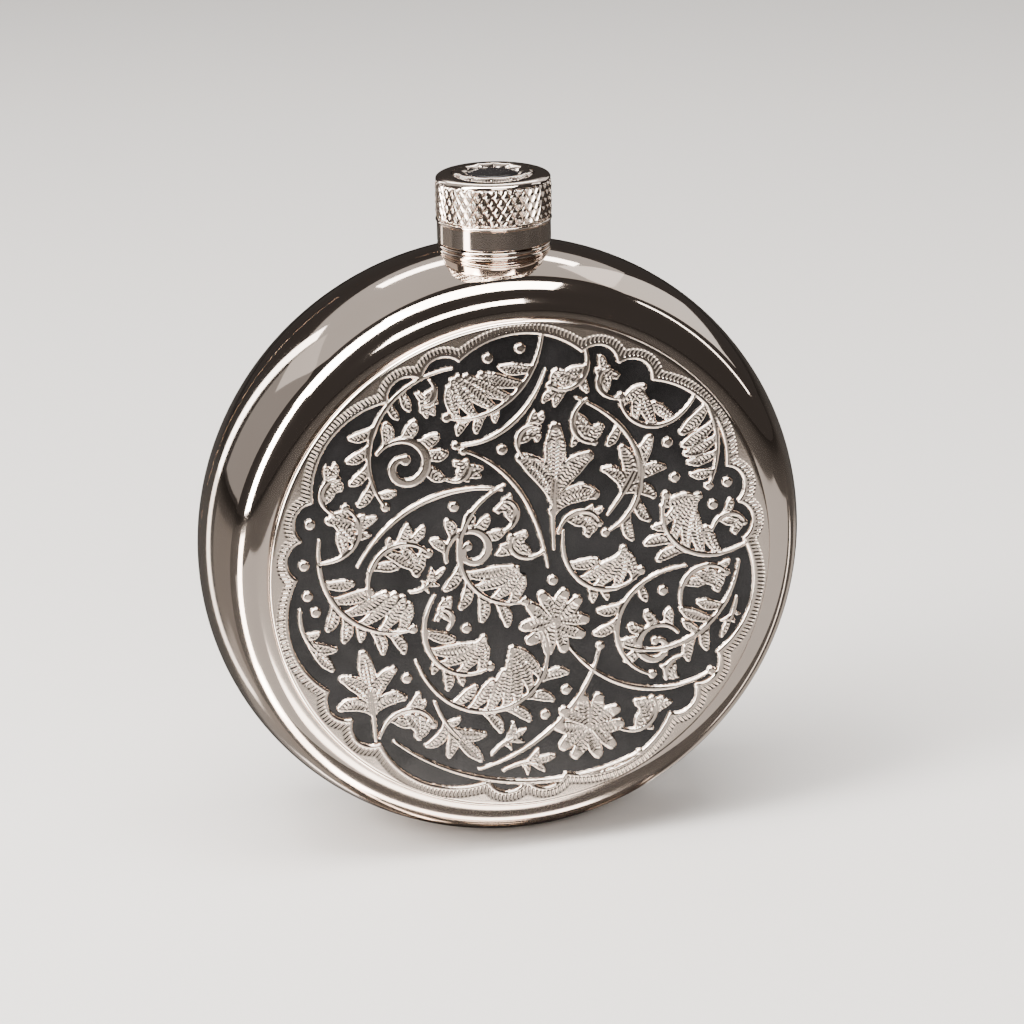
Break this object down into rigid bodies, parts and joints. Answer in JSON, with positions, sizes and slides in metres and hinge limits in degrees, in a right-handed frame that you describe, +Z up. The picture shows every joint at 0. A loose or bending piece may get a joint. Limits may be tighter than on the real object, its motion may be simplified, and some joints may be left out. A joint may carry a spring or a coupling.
{
  "type": "hip flask",
  "caption": "Round metal hip flask with a scroll-engraved front plate, turned threaded neck and knurled screw cap with seal.",
  "frame": {"origin": "middle of the small flat at the bottom of the rim, where the flask stands", "axes": "+Z up along the neck and cap axis, -Y out of the engraved front plate, +X to the right seen from the front"},
  "size_m": [0.1, 0.035, 0.1111],
  "materials": {
    "polished_silver": "mirror polished silver plate",
    "engraved_silver": "die-struck and bright-cut silver plate",
    "knurled_silver": "turned and diamond-knurled silver plate",
    "black_enamel": "glossy black enamel",
    "neck_steel": "turned stainless steel",
    "solder": "silver solder",
    "seal_white": "food-grade seal"
  },
  "bodies": {
    "flask": {"front_shell": "polished_silver", "back_shell": "polished_silver", "seam_braze": "solder", "medallion_plate": "engraved_silver", "ground_enamel": "black_enamel", "neck": "neck_steel", "neck_collar": "polished_silver", "neck_solder": "solder"},
    "cap_seal": {"cap_gasket": "seal_white"},
    "cap": {"cap_shell": "knurled_silver", "cap_insert": "neck_steel", "cap_bezel": "engraved_silver", "cap_inlay": "black_enamel"}
  },
  "joints": [
    {"name": "cap_rise", "type": "slide", "parent": "flask", "child": "cap_seal", "axis": [0, 0, 1], "range_m": [0, 0.0132]},
    {"name": "cap_turn", "type": "hinge", "parent": "cap_seal", "child": "cap", "pos_m": [0, 0, 0.105], "axis": [0, 0, 1], "range_deg": [0, 2340]}
  ],
  "couplings": [
    {"joint": "cap_rise", "follows": "cap_turn", "m_per_rad": 0.00031831}
  ]
}
